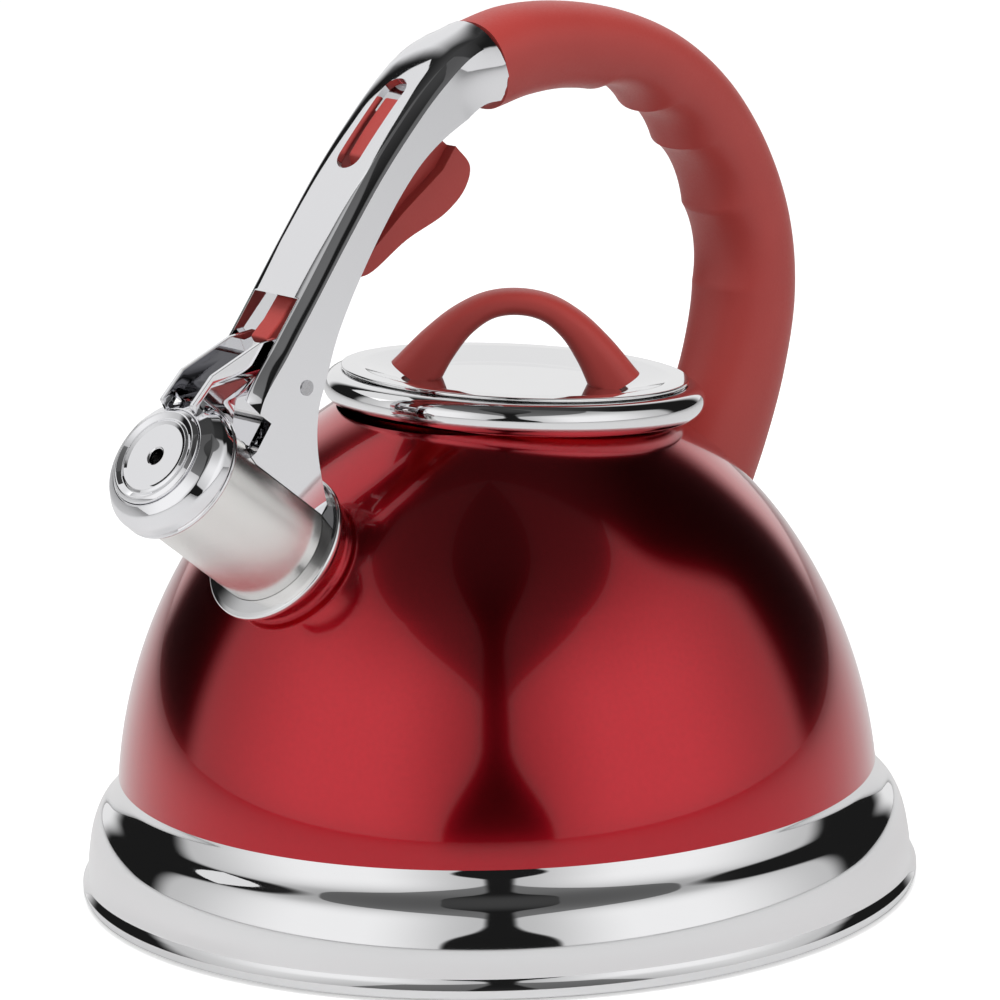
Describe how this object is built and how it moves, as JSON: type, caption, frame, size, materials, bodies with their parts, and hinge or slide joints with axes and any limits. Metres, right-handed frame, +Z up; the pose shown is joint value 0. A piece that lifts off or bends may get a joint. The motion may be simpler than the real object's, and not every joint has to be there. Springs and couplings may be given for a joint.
{
  "type": "stovetop whistling kettle",
  "caption": "Dome-bodied stovetop kettle with lift-off lid, arched hand grip and a trigger lever that swings the whistling cap off its spout.",
  "frame": {"origin": "centre of the flat base, on the stove face", "axes": "+Z up; the spout points toward -X and the grip's rear foot toward +X"},
  "size_m": [0.2305, 0.2194, 0.231],
  "materials": {
    "red_lacquer": "glossy translucent lacquer",
    "mirror_steel": "mirror polished stainless steel",
    "aluminium": "plain sheet",
    "brushed_steel": "satin",
    "red_soft_touch": "soft-touch matte",
    "fastener_steel": "zinc plated",
    "chrome_plate": "bright chrome plate",
    "cast_chrome": "polished and plated die casting"
  },
  "bodies": {
    "kettle": {"body_shell": "red_lacquer", "base_pan": "mirror_steel", "heat_disc": "aluminium", "base_cover": "brushed_steel", "neck_ring": "mirror_steel", "spout_tube": "brushed_steel", "spout_collar": "mirror_steel", "cap_hinge_pin": "fastener_steel", "trigger_pin": "fastener_steel", "trigger_spring": "fastener_steel", "arm_housing": "cast_chrome", "front_bracket": "brushed_steel", "front_screw": "fastener_steel", "grip": "red_soft_touch", "grip_bolt": "fastener_steel", "rear_bracket": "brushed_steel", "rear_plate": "brushed_steel", "rear_screw": "fastener_steel"},
    "lid": {"lid": "mirror_steel", "lid_skirt": "brushed_steel", "lid_knob": "red_soft_touch", "lid_screws": "fastener_steel", "lid_washers": "fastener_steel"},
    "trigger": {"trigger_lever": "red_soft_touch"},
    "cap": {"cap_shell": "chrome_plate", "whistle_plate": "chrome_plate", "whistle_disc": "brushed_steel", "cap_arm": "chrome_plate"}
  },
  "joints": [
    {"name": "lid_lift", "type": "slide", "parent": "kettle", "child": "lid", "axis": [0.0976, 0, 0.9952], "range_m": [0, 0.035]},
    {"name": "trigger_hinge", "type": "hinge", "parent": "kettle", "child": "trigger", "pos_m": [-0.0476, 0, 0.1842], "axis": [0, 1, 0], "range_deg": [-12, 0], "stiffness_Nm_per_rad": 0.12, "springref_deg": 8.59},
    {"name": "cap_hinge", "type": "hinge", "parent": "kettle", "child": "cap", "pos_m": [-0.072, 0, 0.1465], "axis": [0, 1, 0], "range_deg": [0, 32]}
  ],
  "couplings": [
    {"joint": "cap_hinge", "follows": "trigger_hinge", "ratio": -2.6}
  ]
}
